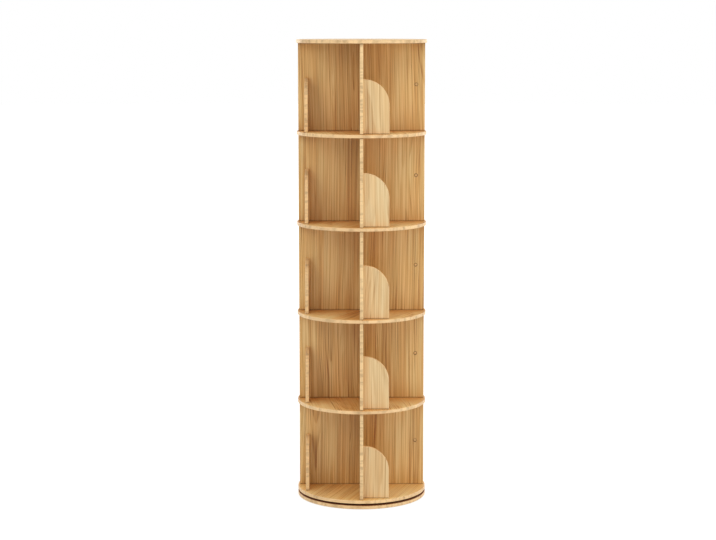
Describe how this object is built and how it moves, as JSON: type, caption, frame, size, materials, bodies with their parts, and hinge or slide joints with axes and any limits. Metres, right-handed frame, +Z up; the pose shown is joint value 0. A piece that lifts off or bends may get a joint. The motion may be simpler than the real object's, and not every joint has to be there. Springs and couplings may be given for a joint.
{
  "type": "revolving bookcase",
  "caption": "Tall round revolving bookcase: stacked round shelves, crossed divider panels and round-cornered book stops turn together on a ball-bearing base.",
  "frame": {"origin": "on the floor under the turning axis", "axes": "+Z up along the turning axis, -Y to the front, +X to the viewer's right"},
  "size_m": [0.4499, 0.45, 1.603],
  "materials": {
    "pine_round_board": "clear satin lacquer",
    "pine_panel": "clear satin lacquer",
    "pine_book_stop": "clear satin lacquer",
    "beech_dowel": "raw",
    "zinc_screw": "yellow zinc",
    "zinc_cam": "die-cast zinc",
    "bearing_aluminium": "satin",
    "bearing_steel": "polished",
    "cage_nylon": "black nylon",
    "pad_rubber": "matt"
  },
  "bodies": {
    "base": {"base_board": "pine_round_board", "foot_pads": "pad_rubber", "bearing_outer_ring": "bearing_aluminium", "bearing_outer_screws": "zinc_screw"},
    "ball_cage": {"bearing_ball_cage": "cage_nylon", "bearing_balls": "bearing_steel"},
    "carousel": {"bearing_inner_ring": "bearing_aluminium", "bearing_inner_screws": "zinc_screw", "bottom_shelf": "pine_round_board", "shelf_2": "pine_round_board", "shelf_3": "pine_round_board", "shelf_4": "pine_round_board", "shelf_5": "pine_round_board", "top_board": "pine_round_board", "cross_panel_tier_1": "pine_panel", "front_panel_tier_1": "pine_panel", "rear_panel_tier_1": "pine_panel", "cross_panel_tier_2": "pine_panel", "front_panel_tier_2": "pine_panel", "rear_panel_tier_2": "pine_panel", "cross_panel_tier_3": "pine_panel", "front_panel_tier_3": "pine_panel", "rear_panel_tier_3": "pine_panel", "cross_panel_tier_4": "pine_panel", "front_panel_tier_4": "pine_panel", "rear_panel_tier_4": "pine_panel", "cross_panel_tier_5": "pine_panel", "front_panel_tier_5": "pine_panel", "rear_panel_tier_5": "pine_panel", "book_stop_front_tier_1": "pine_book_stop", "book_stop_right_tier_1": "pine_book_stop", "book_stop_rear_tier_1": "pine_book_stop", "book_stop_left_tier_1": "pine_book_stop", "book_stop_front_tier_2": "pine_book_stop", "book_stop_right_tier_2": "pine_book_stop", "book_stop_rear_tier_2": "pine_book_stop", "book_stop_left_tier_2": "pine_book_stop", "book_stop_front_tier_3": "pine_book_stop", "book_stop_right_tier_3": "pine_book_stop", "book_stop_rear_tier_3": "pine_book_stop", "book_stop_left_tier_3": "pine_book_stop", "book_stop_front_tier_4": "pine_book_stop", "book_stop_right_tier_4": "pine_book_stop", "book_stop_rear_tier_4": "pine_book_stop", "book_stop_left_tier_4": "pine_book_stop", "book_stop_front_tier_5": "pine_book_stop", "book_stop_right_tier_5": "pine_book_stop", "book_stop_rear_tier_5": "pine_book_stop", "book_stop_left_tier_5": "pine_book_stop", "tier_dowels": "beech_dowel", "end_dowels": "beech_dowel", "cross_dowels": "beech_dowel", "book_stop_dowels": "beech_dowel", "cam_locks": "zinc_cam", "tier_cam_bolts": "zinc_cam", "end_cam_bolts": "zinc_cam", "book_stop_screws": "zinc_screw"}
  },
  "joints": [
    {"name": "carousel_spin", "type": "hinge", "parent": "base", "child": "carousel", "pos_m": [0, 0, 0.0175], "axis": [0, 0, 1], "continuous": true},
    {"name": "ball_cage_spin", "type": "hinge", "parent": "base", "child": "ball_cage", "pos_m": [0, 0, 0.0175], "axis": [0, 0, 1], "continuous": true}
  ],
  "couplings": [
    {"joint": "ball_cage_spin", "follows": "carousel_spin", "ratio": 0.5}
  ]
}
